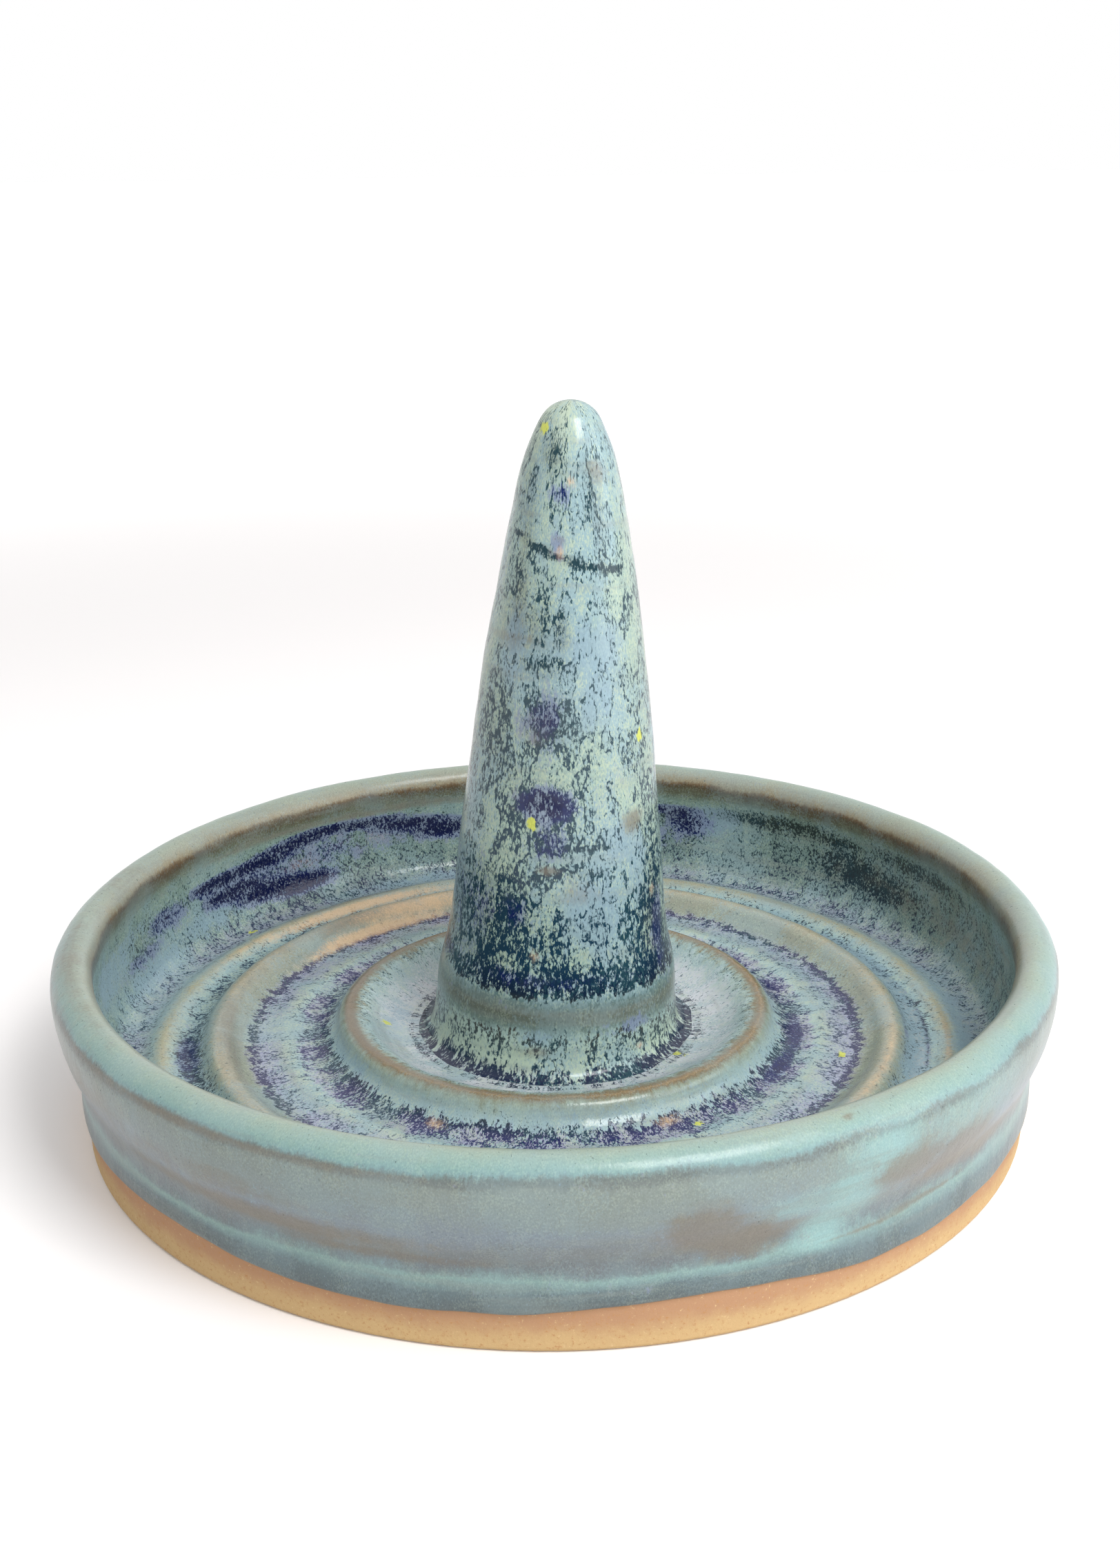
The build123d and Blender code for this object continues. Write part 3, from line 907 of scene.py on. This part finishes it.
cone_pale = [
    (6.9, glaze_chip(160, 170, 176, 0.36)),
    (7.5, glaze_chip(150, 162, 172, 0.36)),
    (8.1, glaze_chip(162, 180, 172, 0.56)),
    (8.7, glaze_chip(172, 190, 172, 0.84)),
    (10.5, glaze_chip(166, 186, 172, 0.68)),
    (12.2, glaze_chip(152, 176, 172, 0.62)),
    (13.0, glaze_chip(108, 128, 122, 0.92)),
    (14.0, glaze_chip(94, 104, 95, 1.0)),
    (14.7, glaze_chip(94, 99, 88, 1.0)),
    (15.3, glaze_chip(94, 112, 109, 1.0)),
    (16.2, glaze_chip(94, 121, 122, 0.95)),
    (17.0, glaze_chip(136, 162, 166, 0.44)),
    (18.6, glaze_chip(146, 172, 174, 0.42)),
    (20.2, glaze_chip(148, 174, 162, 0.54)),
    (23, glaze_chip(152, 176, 164, 0.66)),
    (31, glaze_chip(154, 177, 165, 0.7)),
    (45, glaze_chip(150, 172, 163, 0.76)),
    (60, glaze_chip(148, 170, 162, 0.8)),
    (74, glaze_chip(156, 177, 168, 0.82)),
    (tip_level, glaze_chip(178, 192, 172, 0.9)),
]
cone_dark = [
    (6.9, glaze_chip(18, 24, 58, 0.8)),
    (10, glaze_chip(30, 60, 72, 0.8)),
    (13.4, glaze_chip(70, 64, 50, 0.3)),
    (15.6, glaze_chip(60, 66, 56, 0.3)),
    (17.2, glaze_chip(10, 30, 56, 0.9)),
    (20.5, glaze_chip(20, 52, 74, 1.0)),
    (40, glaze_chip(32, 62, 76, 1.0)),
    (tip_level, glaze_chip(36, 68, 76, 1.0)),
]
cone_glaze = fired_glaze("cone_reactive_glaze", cone_pale, cone_dark, tip_level, jag=5.0, relief=0.5)
cone_coat_piece.data.materials.append(cone_glaze)
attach(cone_coat_piece, "root")
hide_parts("cone_glaze")

# Studio: a pale table that runs white to the horizon and keeps the dish's shadow, an overcast
# room that is lighter behind the dish, a window above the right shoulder, a wide, low one at
# the right, and two fills that the gloss doesn't mirror.
table_breadth = 8.0
table_in_light = (0.75, 0.75, 0.75, 1)
table_in_view = (0.98, 0.955, 0.95, 1)
glow_near, glow_far = (0.01, 0.01, 0.01, 1), (0.6, 0.6, 0.6, 1)
glow_starts, glow_full = 0.21, 0.66
unlit = (0, 0, 0, 1)
bpy.ops.mesh.primitive_plane_add(size=table_breadth)
table = bpy.context.object
table.name = "pale_table"
table_top, tree, shader = new_material(
    "pale_table_top", Roughness=0.9, Specular_IOR_Level=0.1, Emission_Strength=1.0
)
seen = add_node(tree, "ShaderNodeLightPath", {})
shown = work_out(tree, "MAXIMUM", seen.outputs["Is Camera Ray"], seen.outputs["Is Glossy Ray"])
shown = work_out(tree, "MAXIMUM", shown, seen.outputs["Is Transmission Ray"])
tree.links.new(blend_of(tree, shown, table_in_light, table_in_view), shader.inputs["Base Color"])
table_place = add_node(tree, "ShaderNodeTexCoord", {}).outputs["Object"]
away = add_node(tree, "ShaderNodeVectorMath", {0: table_place}, operation="LENGTH").outputs["Value"]
glow = blend_of(tree, ease(tree, away, glow_starts, glow_full), glow_near, glow_far)
tree.links.new(blend_of(tree, shown, unlit, glow), shader.inputs["Emission Color"])
table.data.materials.append(table_top)

world = bpy.data.worlds.new("overcast")
bpy.context.scene.world = world
world.use_nodes = True
tree = world.node_tree
surround = tree.nodes["Background"]
seen = add_node(tree, "ShaderNodeLightPath", {})
shown = work_out(tree, "MAXIMUM", seen.outputs["Is Camera Ray"], seen.outputs["Is Transmission Ray"])
surround.inputs["Color"].default_value = (1, 1, 1, 1)
facing = add_node(tree, "ShaderNodeTexCoord", {}).outputs["Generated"]
towards_back = add_node(tree, "ShaderNodeSeparateXYZ", {"Vector": facing}).outputs["Y"]
room_light, backdrop_light = 0.36, 0.9
room_to_backdrop = {
    "Value": towards_back,
    "From Min": -0.7,
    "From Max": 0.6,
    "To Min": room_light,
    "To Max": backdrop_light,
}
lit = add_node(tree, "ShaderNodeMapRange", room_to_backdrop).outputs[0]
tree.links.new(work_out(tree, "MAXIMUM", lit, shown), surround.inputs["Strength"])


def soft_lamp(name, place, aim, size, power):
    bpy.ops.object.light_add(type="AREA", location=place)
    lamp = bpy.context.object
    lamp.name = name
    lamp.data.size = size
    lamp.data.energy = power
    lamp.rotation_euler = (Vector(aim) - Vector(place)).to_track_quat("-Z", "Y").to_euler()
    return lamp


mid_cone, dish_middle = (0, 0, 0.03), (0, 0, 0)
soft_lamp("window", (0.18, -0.25, 0.41), mid_cone, size=0.2, power=1.45)
soft_lamp("side_window", (0.5, -0.16, 0.2), mid_cone, size=0.4, power=1.1)
front_fill = soft_lamp("front_fill", (0.1, -0.62, 0.26), mid_cone, size=0.5, power=1.35)
top_fill = soft_lamp("top_fill", (0.08, -0.05, 0.5), dish_middle, size=0.5, power=0.25)
for fill in (front_fill, top_fill):
    fill.visible_glossy = False

# The camera, recovered from the ellipses of the rim, the foot and the floor's rings
focal_pixels = 2748.19
photo_height = 2274
camera_roll = math.radians(-0.68)
eye = Vector((0.8896, -204.511, 108.763)) * mm
ahead = Vector((0, 0.94408, -0.32971)).normalized()
level_right = Vector((1, 0, 0))
level_up = level_right.cross(ahead)
right = level_right * math.cos(camera_roll) + level_up * math.sin(camera_roll)
up = level_up * math.cos(camera_roll) - level_right * math.sin(camera_roll)
bpy.ops.object.camera_add()
camera = bpy.context.object
camera.data.sensor_fit = "VERTICAL"
camera.data.sensor_height = 36
camera.data.lens = focal_pixels * camera.data.sensor_height / photo_height
camera.data.clip_start = 10 * mm
camera.matrix_world = Matrix.Translation(eye) @ Matrix((right, up, -ahead)).transposed().to_4x4()
bpy.context.scene.camera = camera
bpy.context.scene.view_settings.view_transform = "Standard"
